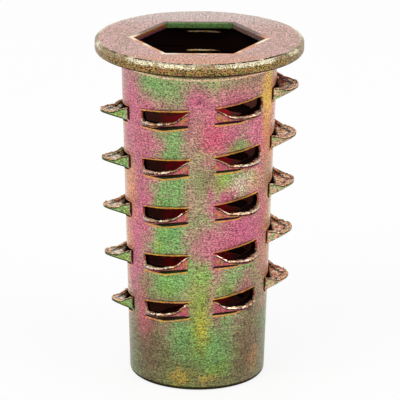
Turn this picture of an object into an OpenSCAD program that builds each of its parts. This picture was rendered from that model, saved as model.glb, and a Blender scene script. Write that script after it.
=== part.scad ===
// Hex drive threaded insert for wood: a drawn steel barrel with a flange and a helix of lanced teeth.
// It stands on its open end, with its axis on +Z and the flange at the top. Lengths are in millimetres.

/* [Overall] */
// Length from the open end to the flange's top face
length = 25; // [20:0.5:40]
// Thickness of the drawn sheet, in the barrel, the teeth and the plate that holds the hex hole
sheet_t = 0.4; // [0.3:0.05:0.55]

/* [Thread] */
// Nominal diameter of the bolt's thread
thread_d = 8; // [6:0.5:12]
// Pitch of the bolt's thread
thread_pitch = 1.25; // [0.75:0.25:1.75]
// Length of the threaded wall at the open end
thread_len = 3.6; // [2.5:0.1:8]
// Height of the bevel that leads a bolt into the thread from the flange
lead_in = 0.5; // [0.3:0.1:0.8]

/* [Hex drive] */
// Clearance between the bolt's thread and the flats of the hex hole, across both flats
hex_clearance = 0.15; // [0.1:0.05:0.5]
// Width of the plate between the hex hole's corners and the inside of the barrel
hex_ledge = 0.47; // [0.2:0.01:0.8]

/* [Flange] */
// Width of the flange beyond the barrel
flange_overhang = 1.875; // [1.2:0.025:3]
// Thickness of the flange at its rim
flange_t = 0.85; // [0.7:0.05:1.2]
// Radius of the rim's upper and lower edges
rim_round = 0.2; // [0.1:0.05:0.3]
// Radius of the fillet between the flange and the barrel
neck_fillet = 0.2; // [0.1:0.05:0.4]

/* [Barrel] */
// Difference in diameter between the barrel's top and its open end
barrel_taper = 1.4; // [0.6:0.05:1.6]
// Radius of the barrel's outer edge at its open end
end_round = 0.35; // [0.2:0.05:0.6]

/* [Teeth] */
// Number of teeth in one turn of the helix
teeth_per_turn = 6; // [4:1:7]
// Rise of the helix in one turn
helix_lead = 3.58; // [2.8:0.02:5]
// Direction of the first tooth, seen from above and measured from +X
first_tooth_angle = 2.7; // [0:0.1:360]
// Distance from the flange's underside to the first tooth's slit
first_slit_drop = 2.1; // [1.8:0.1:4]
// Plain wall between the hollow's floor and the keel of the last tooth
last_keel_gap = 0.4; // [0.2:0.05:3]
// Reach of a tooth's tip beyond the barrel
tooth_reach = 1.66; // [1:0.02:2]
// Angle that a tooth spans round the barrel
tooth_span = 42; // [30:1:46]
// Width of a tooth's blunt tip
tip_w = 1.1; // [0.6:0.05:1.4]
// Width of a tooth at its shoulders, between the tip and the barrel
shoulder_w = 2.55; // [1.8:0.05:3]
// Distance from a tooth's tip back to its shoulders
shoulder_back = 0.72; // [0.4:0.02:1]
// Depth of a tooth's lip below its slit
lip_drop = 0.36; // [0.2:0.02:0.5]
// Run of the ramps from the ends of a slit down to the lip
lip_ramp = 0.7; // [0.3:0.05:1.2]
// Height of the fold at each end of a tooth
fold_h = 1; // [0.8:0.05:1.1]
// Depth of a tooth's keel below its slit, where it meets the barrel
keel_drop = 1.2; // [1.1:0.01:1.6]
// Share of the full reach that the last tooth has
last_reach_share = 0.75; // [0.6:0.05:1]
// Number of teeth over which the reach falls off at the open end
lead_teeth = 4; // [1:1:8]

/* [Hidden] */
$fn = 96;
// Distance by which cuts pass through a face
over = 1;
// Step between the slit and the top of a tooth's outer form
slit_step = 0.03;

hex_af = thread_d + hex_clearance;
hex_corner_d = hex_af / cos(30);
thread_minor_r = (thread_d - thread_pitch) / 2;
barrel_top_r = hex_corner_d / 2 + hex_ledge + sheet_t;
barrel_end_r = barrel_top_r - barrel_taper / 2;
flange_r = barrel_top_r + flange_overhang;
flange_under = length - flange_t;
hollow_floor = thread_len + lead_in;
hollow_roof = length - sheet_t;
tooth_step = 360 / teeth_per_turn;
tooth_rise = helix_lead / teeth_per_turn;
first_slit_z = flange_under - first_slit_drop;
last_slit_z = hollow_floor + last_keel_gap + keel_drop;
tooth_count = 1 + floor((first_slit_z - last_slit_z) / tooth_rise);

// Outside radius of the barrel at height z
function barrel_r(z) = barrel_end_r + (barrel_top_r - barrel_end_r) * z / flange_under;
// Height of the slit above tooth i
function slit_z(i) = first_slit_z - i * tooth_rise;
// Tilt of the helix at radius r
function lead_angle(r) = atan(helix_lead / (2 * PI * r));
// Share of the full reach that tooth i has
function reach_share(i) =
    1 - (1 - last_reach_share) * max(0, i - (tooth_count - 1 - lead_teeth)) / lead_teeth;

// Half section of the flange, with rounded edges at its rim
module flange_profile() {
    translate([0, flange_under]) square([flange_r - rim_round, flange_t]);
    translate([0, flange_under + rim_round]) square([flange_r, flange_t - 2 * rim_round]);
    for (z = [flange_under + rim_round, length - rim_round])
        translate([flange_r - rim_round, z]) circle(rim_round);
}

// Half section of the fillet where the barrel meets the flange
module neck_profile() {
    z = flange_under - neck_fillet;
    r = barrel_r(z);
    difference() {
        translate([r - neck_fillet, z]) square([2 * neck_fillet, neck_fillet + flange_t / 2]);
        translate([r + neck_fillet, z]) circle(neck_fillet);
    }
}

// Half section of the tapered barrel with its rounded end
module barrel_profile() {
    edge_r = barrel_r(end_round);
    polygon([
        [0, 0],
        [edge_r - end_round, 0],
        [edge_r - end_round, end_round],
        [edge_r, end_round],
        [barrel_top_r, flange_under],
        [0, flange_under]
    ]);
    translate([edge_r - end_round, end_round]) circle(end_round);
}

// Half section of the thin-walled hollow, with the bevel that leads down to the thread
module hollow_profile() {
    polygon([
        [0, thread_len],
        [thread_minor_r, thread_len],
        [barrel_r(hollow_floor) - sheet_t, hollow_floor],
        [barrel_r(hollow_roof) - sheet_t, hollow_roof],
        [0, hollow_roof]
    ]);
}

// The solid form of the flange and barrel
module turned_form() {
    rotate_extrude() {
        flange_profile();
        neck_profile();
        barrel_profile();
    }
}

// The way through the insert: hex hole, hollow, lead-in and the thread's bore
module way_through() {
    rotate_extrude() hollow_profile();
    translate([0, 0, -over]) cylinder(r = thread_minor_r, h = thread_len + 2 * over);
    translate([0, 0, hollow_roof - over]) cylinder(d = hex_corner_d, h = sheet_t + 2 * over, $fn = 6);
}

// Frame of tooth i: x points outwards, y runs along the slit and z rises from the slit
module at_tooth(i) {
    rotate(first_tooth_angle - i * tooth_step)
        translate([0, 0, slit_z(i)])
            rotate([lead_angle(barrel_r(slit_z(i))), 0, 0]) children();
}

// Form of tooth i: a scoop with a blunt tip outwards and a keel below, flat at top_z.
// An inset moves its flanks and keel inwards, which gives the cavity behind the sheet.
module scoop_form(i, inset, top_z) {
    r = barrel_r(slit_z(i));
    end_x = r * cos(tooth_span / 2);
    end_y = r * sin(tooth_span / 2);
    reach = tooth_reach * reach_share(i);
    tip_x = r + reach;
    tip_flank = (shoulder_w - tip_w) / 2 / shoulder_back;
    end_flank = (end_y - shoulder_w / 2) / (tip_x - shoulder_back - end_x);
    tip_line = tip_w / 2 + tip_flank * tip_x - inset * sqrt(1 + tip_flank * tip_flank);
    end_line = end_y + end_flank * end_x - inset * sqrt(1 + end_flank * end_flank);
    front_x = tip_x - inset;
    front_y = tip_line - tip_flank * front_x;
    shoulder_x = (tip_line - end_line) / (tip_flank - end_flank);
    shoulder_y = tip_line - tip_flank * shoulder_x;
    root_x = end_x - 2 * sheet_t;
    root_y = end_line - end_flank * root_x;
    plan = [
        [front_x, front_y],
        [shoulder_x, shoulder_y],
        [root_x, root_y],
        [root_x, -root_y],
        [shoulder_x, -shoulder_y],
        [front_x, -front_y]
    ];
    keel_slope = (keel_drop - lip_drop - sheet_t) / reach;
    keel_flank = (keel_drop + keel_slope * (r - end_x) - fold_h) / end_y;
    lift = inset * sqrt(1 + keel_slope * keel_slope + keel_flank * keel_flank);
    function floor_z(p) = lift - keel_drop + keel_slope * (p.x - r) + keel_flank * abs(p.y);
    top = [for (p = plan) [p.x, p.y, top_z]];
    bottom = [for (p = plan) [p.x, p.y, floor_z(p)]];
    keel = [for (x = [front_x, root_x]) [x, 0, floor_z([x, 0])]];
    flanks = [for (k = [0, 1, 3, 4]) [k, k + 1, k + 7, k + 6]];
    ends = [[5, 0, 6, 12, 11], [2, 3, 9, 13, 8]];
    floors = [[12, 6, 7, 8, 13], [12, 13, 9, 10, 11]];
    at_tooth(i) polyhedron(concat(top, bottom, keel), concat([[5, 4, 3, 2, 1, 0]], flanks, ends, floors));
}

// The slit above tooth i, with ramps at its ends down to the lip
module slit(i) {
    r = barrel_r(slit_z(i));
    from_x = r * cos(tooth_span / 2) - 2 * sheet_t;
    to_x = r + tooth_reach + over;
    half = r * sin(tooth_span / 2);
    lip_half = half - lip_ramp;
    at_tooth(i)
        translate([from_x, 0, 0])
            rotate([90, 0, 90])
                linear_extrude(to_x - from_x)
                    polygon([[-half, 0], [half, 0], [lip_half, -lip_drop], [-lip_half, -lip_drop]]);
}

module insert_body() {
    teeth = [0:tooth_count - 1];
    color([0.74, 0.62, 0.45]) difference() {
        union() {
            turned_form();
            for (i = teeth) scoop_form(i, 0, -slit_step);
        }
        way_through();
        for (i = teeth) {
            slit(i);
            scoop_form(i, sheet_t, -lip_drop / 2);
        }
    }
}

insert_body();
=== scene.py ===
"""Dressed model of a hex drive threaded insert: a barrel with lanced teeth, its flange and its thread."""

from __future__ import annotations

import logging
import math
from dataclasses import dataclass, field
from enum import Enum

import bpy
import numpy as np
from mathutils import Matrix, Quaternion, Vector


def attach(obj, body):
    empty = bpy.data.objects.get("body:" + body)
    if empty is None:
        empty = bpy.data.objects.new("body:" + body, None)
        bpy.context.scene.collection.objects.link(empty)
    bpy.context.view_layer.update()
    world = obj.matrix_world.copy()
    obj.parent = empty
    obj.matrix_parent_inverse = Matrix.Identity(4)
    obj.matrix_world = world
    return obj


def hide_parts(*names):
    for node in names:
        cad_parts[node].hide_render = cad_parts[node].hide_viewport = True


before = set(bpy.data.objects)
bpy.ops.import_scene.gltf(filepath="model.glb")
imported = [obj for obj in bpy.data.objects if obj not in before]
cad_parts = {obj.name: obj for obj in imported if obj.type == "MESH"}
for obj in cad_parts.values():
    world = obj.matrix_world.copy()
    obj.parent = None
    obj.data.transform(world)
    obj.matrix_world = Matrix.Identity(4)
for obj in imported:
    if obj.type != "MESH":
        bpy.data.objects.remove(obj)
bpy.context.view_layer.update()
LOG = logging.getLogger("insert")
MARKS = ("lip", "slit", "fall", "fold", "pale", "depth")
MM = 0.001
HEX_TURN = math.radians(30)
SAME_PLACE = 0.0005
FAR = 9.0
Outline = list[tuple[float, float]]


class Element(Enum):
    """What can be selected in a mesh, with the collection that holds it."""

    EDGE = "edges"
    FACE = "polygons"


class Merge(Enum):
    """Ways in which one solid acts on another."""

    JOIN = "UNION"
    CUT = "DIFFERENCE"


def only(*objects: bpy.types.Object) -> None:
    """Selects these objects alone, with the first one active."""
    bpy.ops.object.select_all(action="DESELECT")
    for item in objects:
        item.select_set(True)
    bpy.context.view_layer.objects.active = objects[0]


def coordinates(piece: bpy.types.Object) -> np.ndarray:
    """Returns the places of a mesh's vertices, one row each."""
    places = np.empty(len(piece.data.vertices) * 3)
    piece.data.vertices.foreach_get("co", places)
    return places.reshape(-1, 3)


def set_coordinates(piece: bpy.types.Object, places: np.ndarray) -> None:
    """Moves a mesh's vertices to the places given."""
    piece.data.vertices.foreach_set("co", places.astype(np.float32).ravel())
    piece.data.update()


def from_axis(places: np.ndarray) -> np.ndarray:
    """Returns how far each place is from the axis."""
    return np.hypot(places[:, 0], places[:, 1])


def edge_ends(piece: bpy.types.Object) -> np.ndarray:
    """Returns the two vertices of each edge."""
    ends = np.empty(len(piece.data.edges) * 2, np.int64)
    piece.data.edges.foreach_get("vertices", ends)
    return ends.reshape(-1, 2)


def open_edges(piece: bpy.types.Object) -> np.ndarray:
    """Returns which edges have a face on one side only."""
    used = np.empty(len(piece.data.loops), np.int64)
    piece.data.loops.foreach_get("edge_index", used)
    return np.bincount(used, minlength=len(piece.data.edges)) == 1


def leave_edit() -> None:
    """Goes back to object mode."""
    bpy.ops.object.mode_set(mode="OBJECT")


def face_outwards() -> None:
    """Turns all faces of the edited mesh outwards, and goes back to object mode."""
    bpy.ops.mesh.select_all(action="SELECT")
    bpy.ops.mesh.normals_make_consistent(inside=False)
    leave_edit()


def select(piece: bpy.types.Object, element: Element, chosen: np.ndarray) -> None:
    """Selects only the elements that are marked, and goes into edit mode on them.

    Args:
        piece: the object whose mesh is edited.
        element: what is selected.
        chosen: which of them, one mark each.
    """
    only(piece)
    bpy.ops.object.mode_set(mode="EDIT")
    bpy.ops.mesh.select_mode(type=element.name)
    bpy.ops.mesh.select_all(action="DESELECT")
    leave_edit()
    getattr(piece.data, element.value).foreach_set("select", chosen)
    bpy.ops.object.mode_set(mode="EDIT")


def apply_modifier(piece: bpy.types.Object, kind: str, **settings: object) -> None:
    """Adds a modifier with these settings to a piece and applies it.

    Args:
        piece: the object that takes the modifier.
        kind: the modifier's type.
        settings: values of the modifier's own properties.
    """
    only(piece)
    modifier = piece.modifiers.new(kind.title(), kind)
    for name, value in settings.items():
        setattr(modifier, name, value)
    bpy.ops.object.modifier_apply(modifier=modifier.name)


def combine(piece: bpy.types.Object, other: bpy.types.Object, how: Merge) -> None:
    """Joins another solid to a piece or cuts it away, and removes the other one.

    Args:
        piece: the solid that stays.
        other: the solid that is used up.
        how: whether the other one is joined or cut away.
    """
    apply_modifier(piece, "BOOLEAN", operation=how.value, object=other, solver="MANIFOLD")
    mesh = other.data
    bpy.data.objects.remove(other)
    bpy.data.meshes.remove(mesh)


def turned(name: str, outline: Outline, steps: int, closed: bool) -> bpy.types.Object:
    """Spins an outline round the axis into a solid.

    Args:
        name: the new object's name.
        outline: radius and height of the outline's points, in order.
        steps: number of steps in one turn.
        closed: whether the outline's end is joined to its start.

    Returns:
        The turned object, in millimetres.
    """
    bpy.ops.object.select_all(action="DESELECT")
    bpy.ops.mesh.primitive_plane_add(size=1)
    piece = bpy.context.object
    piece.name = name
    bpy.ops.object.mode_set(mode="EDIT")
    bpy.ops.mesh.select_mode(type="VERT")
    bpy.ops.mesh.select_all(action="SELECT")
    bpy.ops.mesh.merge(type="CENTER")
    start = Vector((outline[0][0], 0, outline[0][1]))
    bpy.ops.transform.translate(value=start)
    for before, after in zip(outline, outline[1:]):
        move = (after[0] - before[0], 0, after[1] - before[1])
        bpy.ops.mesh.extrude_vertices_move(TRANSFORM_OT_translate={"value": move})
    bpy.ops.mesh.select_all(action="SELECT")
    if closed:
        leave_edit()
        ends = [0, len(outline) - 1]
        for index in range(len(outline)):
            piece.data.vertices[index].select = index in ends
        for edge in piece.data.edges:
            edge.select = False
        bpy.ops.object.mode_set(mode="EDIT")
        bpy.ops.mesh.select_mode(type="VERT")
        bpy.ops.mesh.edge_face_add()
        bpy.ops.mesh.select_all(action="SELECT")
    bpy.ops.mesh.spin(steps=steps, angle=2 * math.pi, center=(0, 0, 0), axis=(0, 0, 1))
    bpy.ops.mesh.select_all(action="SELECT")
    bpy.ops.mesh.remove_doubles(threshold=SAME_PLACE)
    face_outwards()
    return piece


def arc(middle: tuple[float, float], radius: float, start: float, end: float, steps: int) -> Outline:
    """Returns points of an outline along an arc.

    Args:
        middle: radius and height of the arc's centre.
        radius: the arc's radius.
        start: direction of the first point in degrees, 0 outwards and 90 upwards.
        end: direction of the last point in degrees.
        steps: number of steps.

    Returns:
        The points, both ends among them.
    """
    turn = [math.radians(start + (end - start) * step / steps) for step in range(steps + 1)]
    return [(middle[0] + radius * math.cos(a), middle[1] + radius * math.sin(a)) for a in turn]


@dataclass
class Barrel:
    """The tapered barrel: a sheet wound on the teeth's helix, lanced at each tooth and pushed out there."""

    top_radius: float = 5.5754
    end_radius: float = 4.8754
    under_flange: float = 24.15
    top: float = 24.75
    sheet: float = 0.4
    end_round: float = 0.35
    teeth_per_turn: int = 6
    lead: float = 3.58
    first_angle: float = 2.7
    first_slit: float = 22.05
    tooth_count: int = 28
    reach: float = 1.6
    span: float = 42.0
    fullness: float = 2.1
    end_inset: float = 0.6
    halvings: int = 30
    lip_drop: float = 0.38
    lip_sag: float = 0.41
    lip_places: tuple[float, ...] = (0.0, 0.36, 0.58, 0.8, 1.0)
    lip_ease: float = 0.3
    lip_thin: float = 0.5
    tip_height: float = 0.3
    fold_height: float = 0.98
    keel_drop: float = 1.19
    last_share: float = 0.75
    lead_teeth: int = 4
    fold_round: float = 0.12
    bend_share: float = 0.45
    hinge_least: float = 0.3
    lip_margin: float = 0.03
    fade_turn: float = 3.0
    flat_reach: float = 0.02
    seed: int = 7
    tear: float = 0.035
    tear_limit: float = 1.3
    edge_round: float = 0.05
    lip_jag: float = 0.02
    slit_jag: float = 0.012
    end_steps: tuple[float, ...] = (1.0, 0.72, 0.48, 0.28, 0.13, 0.04)
    above: tuple[float, ...] = (1.2, 0.9, 0.6, 0.35, 0.14, 0.0)
    below: tuple[float, ...] = (0.0, 0.12, 0.28, 0.48, 0.72, 1.0)
    slit_gap: float = 0.3
    skin_cuts: int = 3
    weld: float = 0.002
    flap_rows: int = 7
    tooth_columns: int = 17
    column_bias: float = 1.12
    gap_columns: int = 6
    plain_before: int = 9
    plain_after: int = 13
    columns: np.ndarray = field(init=False)

    def __post_init__(self) -> None:
        """Lays out the columns of one tooth's cell, from its left end to its right."""
        tooth = self.span / 2 * np.linspace(0, 1, self.tooth_columns + 1) ** self.column_bias
        gap = np.linspace(self.span / 2, self.step / 2, self.gap_columns + 1)[1:]
        half = np.concatenate([tooth, gap])
        self.columns = np.concatenate([half[::-1], -half[1:-1]])

    def radius(self, height: np.ndarray | float) -> np.ndarray | float:
        """Returns the barrel's outside radius at a height."""
        return self.end_radius + (self.top_radius - self.end_radius) * height / self.under_flange

    def lip_height(self, side: np.ndarray) -> np.ndarray:
        """Returns the lip's height from the slit, by the share of the way from the tip to an end."""
        fall = (self.lip_drop, self.lip_sag, self.lip_sag, self.lip_sag * self.lip_ease, 0.0)
        return -np.interp(side, self.lip_places, fall)

    def bow(
        self,
        across: np.ndarray,
        wall: np.ndarray,
        end_x: np.ndarray,
        end_y: np.ndarray,
        reach: np.ndarray,
        inset: np.ndarray,
    ) -> np.ndarray:
        """Returns the radius of a tooth's bowed plan, found by halving steps.

        Args:
            across: direction from the tooth's middle, in radians.
            wall: radius of the barrel there.
            end_x: distance of the tooth's ends from the axis, along the tooth's middle.
            end_y: distance of its ends from the tooth's middle.
            reach: reach of its tip beyond the barrel.
            inset: depth below the outer skin.

        Returns:
            The radius, for each place.
        """
        low, high = wall - 2 * self.sheet, wall + reach + self.sheet
        tip, rear, half = wall + reach - inset, end_x - inset, end_y - inset * self.end_inset
        for _ in range(self.halvings):
            middle = (low + high) / 2
            share = np.clip(middle * np.sin(across) / half, 0, 2)
            inside = middle * np.cos(across) < tip - (tip - rear) * share**self.fullness
            low, high = np.where(inside, middle, low), np.where(inside, high, middle)
        return low

    @property
    def step(self) -> float:
        """Angle from one tooth to the next, in degrees."""
        return 360 / self.teeth_per_turn

    @property
    def rise(self) -> float:
        """Height from one tooth to the next."""
        return self.lead / self.teeth_per_turn

    @property
    def cells(self) -> int:
        """Number of cells in the sheet, with and without a tooth."""
        return self.plain_before + self.tooth_count + self.plain_after

    @property
    def wide(self) -> int:
        """Number of columns in the sheet."""
        return self.cells * len(self.columns)

    @property
    def high(self) -> int:
        """Number of rows in the sheet."""
        return self.hinge_row + len(self.below) - 1

    @property
    def slit_row(self) -> int:
        """Row of the sheet on which the slits lie."""
        return len(self.above) - 1

    @property
    def hinge_row(self) -> int:
        """Row of the sheet on which the teeth fold out of the wall."""
        return self.slit_row + self.flap_rows

    def flat_sheet(self) -> bpy.types.Object:
        """Makes the sheet flat, one unit to a column and a row, and lances the slits in it.

        Returns:
            The sheet with its slits opened a little and the two skins of its thickness.
        """
        bpy.ops.object.select_all(action="DESELECT")
        bpy.ops.mesh.primitive_grid_add(x_subdivisions=self.wide, y_subdivisions=self.high, size=2)
        sheet = bpy.context.object
        sheet.name = "lanced_barrel"
        grid = coordinates(sheet)
        grid[:, 0] = np.rint((grid[:, 0] + 1) / 2 * self.wide)
        grid[:, 1] = np.rint((1 - grid[:, 1]) / 2 * self.high)
        set_coordinates(sheet, grid)
        self.lance(sheet)
        self.thicken(sheet)
        return sheet

    def lance(self, sheet: bpy.types.Object) -> None:
        """Cuts the slits in the flat sheet and opens each a little."""
        grid, ends = coordinates(sheet), edge_ends(sheet)
        on_slit = (grid[ends, 1] == self.slit_row).all(1)
        middle = grid[ends, 0].mean(1)
        cell = np.floor(middle / len(self.columns)).astype(int)
        column = np.floor(middle - cell * len(self.columns)).astype(int)
        on_slit &= (column >= self.gap_columns) & (column < self.gap_columns + 2 * self.tooth_columns)
        on_slit &= (cell >= self.plain_before) & (cell < self.plain_before + self.tooth_count)
        select(sheet, Element.EDGE, on_slit)
        bpy.ops.mesh.edge_split(type="EDGE")
        leave_edit()

        grid = coordinates(sheet)
        corner = np.array([face.vertices[:] for face in sheet.data.polygons])
        face_row = grid[corner, 1].mean(1)
        touched = np.zeros((len(grid), 2), bool)
        touched[corner[face_row < self.slit_row].ravel(), 0] = True
        touched[corner[face_row > self.slit_row].ravel(), 1] = True
        lip = (grid[:, 1] == self.slit_row) & ~touched[:, 0]
        grid[lip, 1] += self.slit_gap
        grid[:, 1] *= -1
        set_coordinates(sheet, grid)

    def thicken(self, sheet: bpy.types.Object) -> None:
        """Gives the flat sheet its two skins, open at its borders, with rows across the cut edges."""
        apply_modifier(sheet, "SOLIDIFY", thickness=1.0, offset=-1.0)
        grid = coordinates(sheet)
        corner = np.array([face.vertices[:] for face in sheet.data.polygons])
        inside = np.ptp(grid[corner], axis=1)
        across = (inside[:, 2] > 0.5) & (
            ((inside[:, 1] == 0) & ((grid[corner, 1].max(1) == 0) | (grid[corner, 1].min(1) == -self.high)))
            | ((inside[:, 0] == 0) & ((grid[corner, 0].max(1) == 0) | (grid[corner, 0].min(1) == self.wide)))
        )
        select(sheet, Element.FACE, across)
        bpy.ops.mesh.delete(type="ONLY_FACE")
        bpy.ops.mesh.select_all(action="SELECT")
        bpy.ops.mesh.delete_loose(use_verts=False, use_edges=True, use_faces=False)
        leave_edit()

        grid, ends = coordinates(sheet), edge_ends(sheet)
        depth = np.abs(grid[ends[:, 0], 2] - grid[ends[:, 1], 2])
        row = -grid[ends, 1].mean(1)
        column = np.mod(grid[ends[:, 0], 0], len(self.columns))
        chosen = (depth > 0.5) & (np.abs(row - self.slit_row - self.slit_gap / 2) < self.slit_gap)
        chosen &= (column >= self.gap_columns) & (column <= self.gap_columns + 2 * self.tooth_columns)
        select(sheet, Element.EDGE, chosen)
        bpy.ops.mesh.subdivide(number_cuts=self.skin_cuts)
        leave_edit()

    def flap_path(
        self, flap: np.ndarray, radii: tuple[np.ndarray, ...], heights: tuple[np.ndarray, ...]
    ) -> tuple[np.ndarray, np.ndarray]:
        """Follows a tooth's flap from its hinge along the underside, round the bend and up to the lip.

        Args:
            flap: row of the flap, 0 at the hinge.
            radii: radius of the wall, radius of the bowed plan and radius of the bend.
            heights: height from the slit of the hinge, the bend's start, its corner and the lip.

        Returns:
            The radius and the height from the slit, for each place.
        """
        base, bow, bend = radii
        hinge, near, corner, lip = heights
        end = corner + bend
        under_r = [base + (bow - bend - base) * k / 3 for k in range(4)]
        under_z = [hinge + (near - hinge) * k / 3 for k in range(4)]
        path_r = np.stack([*under_r, bow - bend / 4, bow, bow, bow])
        path_z = np.stack([*under_z, 0.25 * near + 0.5 * corner + 0.25 * end, end, (end + lip) / 2, lip])
        pick = np.arange(len(flap))
        flat = bow - base < self.flat_reach
        even = hinge + (lip - hinge) * flap / self.flap_rows
        return np.where(flat, base, path_r[flap, pick]), np.where(flat, even, path_z[flap, pick])

    def press(self, sheet: bpy.types.Object) -> np.ndarray:
        """Winds the flat sheet into the barrel and pushes the teeth out of it.

        Args:
            sheet: the flat sheet, which is changed.

        Returns:
            Which vertices lie on the sheet's long borders, where the windings meet.
        """
        grid = coordinates(sheet)
        column, row, depth = np.rint(grid[:, 0]).astype(int), -grid[:, 1], -grid[:, 2]
        lip = np.abs(row - self.slit_row - self.slit_gap) < self.slit_gap / 2
        row = np.where(lip, self.slit_row, np.rint(row)).astype(int)
        cell = column // len(self.columns)
        turn = self.columns[column % len(self.columns)]
        tooth = cell - self.plain_before
        slit = self.first_slit - self.rise * tooth + self.rise * turn / self.step
        wall = self.radius(slit)
        half = self.span / 2

        across = np.radians(np.abs(turn))
        late = np.clip(tooth - (self.tooth_count - 1 - self.lead_teeth), 0, self.lead_teeth) / self.lead_teeth
        reach = self.reach * (1 - (1 - self.last_share) * late)
        end_x, end_y = wall * math.cos(math.radians(half)), wall * math.sin(math.radians(half))
        keel = (self.keel_drop - self.lip_drop - self.tip_height) / reach
        keel_flank = (self.keel_drop + keel * (wall - end_x) - self.fold_height) / end_y
        fade = np.clip((half - np.abs(turn)) / self.fade_turn, 0, 1)
        flap = np.clip(self.hinge_row - row, 0, self.flap_rows)
        raised = (row > self.slit_row) | lip
        inset = depth * self.sheet * (1 - self.lip_thin * flap / self.flap_rows * fade * raised)
        base = wall - inset
        bow = np.maximum(self.bow(across, wall, end_x, end_y, reach, inset), base)
        lift = inset * np.sqrt(1 + keel**2 + keel_flank**2)

        def floor(radius: np.ndarray) -> np.ndarray:
            """Height of the tooth's underside at a radius, from the slit."""
            sideways = keel_flank * radius * np.sin(across)
            return lift - self.keel_drop + keel * (radius * np.cos(across) - wall) + sideways

        dice = np.random.RandomState(self.seed)
        rough = dice.normal(0, 1, (2, self.wide + len(self.columns)))
        ragged = rough[0][column] * (1 - depth) + rough[1][column] * depth
        torn_by = self.tear * np.clip(ragged, -self.tear_limit, self.tear_limit) * fade
        lip_height = self.lip_height(np.abs(turn) / half) + torn_by
        highest = lip_height - self.lip_margin
        hinge = np.minimum(floor(base), -self.hinge_least)
        corner = np.minimum(floor(bow), highest)
        bend = np.minimum(self.fold_round, self.bend_share * np.minimum(bow - base, lip_height - corner))
        near = np.minimum(floor(bow - bend), highest)
        flap_r, flap_z = self.flap_path(flap, (base, bow, bend), (hinge, near, corner, lip_height))

        in_tooth = (tooth >= 0) & (tooth < self.tooth_count) & (np.abs(turn) < half - 0.01)
        fold = np.where(in_tooth, hinge, -self.fold_height)
        share = np.array(self.below)[np.clip(row - self.hinge_row, 0, len(self.below) - 1)]
        bottom = self.above[0] - self.lead
        drop = np.array(self.above)[np.clip(row, 0, self.slit_row)]
        drop = np.where(row > self.slit_row, fold * (1 - flap / self.flap_rows), drop)
        drop = np.where(row >= self.hinge_row, fold + (bottom - fold) * share, drop)

        on_flap = in_tooth & (row <= self.hinge_row) & raised
        height = slit + np.where(on_flap, flap_z, drop)
        radius = np.where(on_flap, flap_r, self.radius(height) - inset)
        rounded = self.edge_round * np.clip(1 - np.minimum(depth, 1 - depth) * 4, 0, 1)
        jag = rough[1][(column * 5 + (depth * 4).astype(int)) % rough.shape[1]]
        height += np.where(in_tooth & lip, self.lip_jag * jag, 0)
        height -= np.where(in_tooth & lip, rounded, 0)
        cut = in_tooth & ~lip & (row == self.slit_row)
        height += np.where(cut, rounded + self.slit_jag * rough[0][column], 0)

        angle = np.radians(self.first_angle - self.step * tooth + turn)
        set_coordinates(sheet, np.stack([radius * np.cos(angle), radius * np.sin(angle), height], 1))
        layer = sheet.data.attributes.new("depth", "FLOAT", "POINT")
        layer.data.foreach_set("value", depth.astype(np.float32))
        return (row == 0) | (row == row.max())

    def trim(self, sheet: bpy.types.Object, border: np.ndarray) -> None:
        """Welds the windings, trims both ends square and rounds the open end.

        Args:
            sheet: the wound sheet, which becomes a closed solid.
            border: which of its vertices lie where the windings meet.
        """
        select(sheet, Element.EDGE, border[edge_ends(sheet)].all(1))
        bpy.ops.mesh.remove_doubles(threshold=self.weld)
        bpy.ops.mesh.select_all(action="SELECT")
        bpy.ops.mesh.bisect(plane_co=(0, 0, self.top), plane_no=(0, 0, 1), clear_outer=True)
        for share in self.end_steps:
            bpy.ops.mesh.select_all(action="SELECT")
            bpy.ops.mesh.bisect(plane_co=(0, 0, self.end_round * share), plane_no=(0, 0, 1))
        bpy.ops.mesh.select_all(action="SELECT")
        bpy.ops.mesh.bisect(plane_co=(0, 0, 0), plane_no=(0, 0, 1), clear_inner=True)
        for height in (0.0, self.top):
            leave_edit()
            level = np.abs(coordinates(sheet)[:, 2] - height) < SAME_PLACE
            select(sheet, Element.EDGE, level[edge_ends(sheet)].all(1) & open_edges(sheet))
            bpy.ops.mesh.bridge_edge_loops()
        leave_edit()
        places = coordinates(sheet)
        spread = from_axis(places)
        outer = (places[:, 2] < self.end_round) & (spread > self.radius(places[:, 2]) - self.sheet / 2)
        up = np.clip(self.end_round - places[:, 2], 0, self.end_round)
        moved = self.radius(self.end_round) - self.end_round + np.sqrt(self.end_round**2 - up**2)
        places[:, :2] *= np.where(outer, moved / spread, 1)[:, None]
        set_coordinates(sheet, places)

    def build(self) -> bpy.types.Object:
        """Makes the whole barrel and returns it, in millimetres."""
        sheet = self.flat_sheet()
        self.trim(sheet, self.press(sheet))
        only(sheet)
        bpy.ops.object.mode_set(mode="EDIT")
        face_outwards()
        return sheet


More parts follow.
